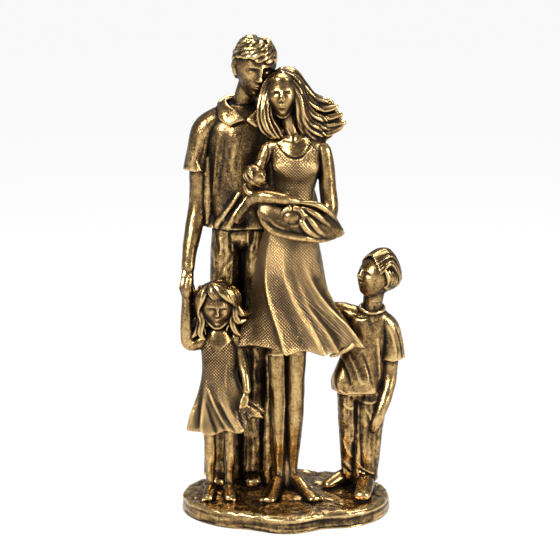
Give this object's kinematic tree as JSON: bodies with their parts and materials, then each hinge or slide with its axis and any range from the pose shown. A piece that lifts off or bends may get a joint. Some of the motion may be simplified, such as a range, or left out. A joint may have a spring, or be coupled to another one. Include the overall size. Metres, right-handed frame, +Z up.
{
  "type": "family group sculpture",
  "caption": "Standing family group in antique bronze: a mother holding a swaddled baby, a father and two children, cast in one with a low rocky oval base.",
  "frame": {"origin": "middle of the base's flat underside", "axes": "+X to the viewer's right, -Y to the front, +Z up along the standing figures"},
  "size_m": [0.1588, 0.1102, 0.3352],
  "materials": {
    "antique_bronze": "antique bronze: bright gold on the raised forms, dark brown in the hollows"
  },
  "bodies": {
    "root": {"family_group": "antique_bronze"}
  },
  "joints": []
}
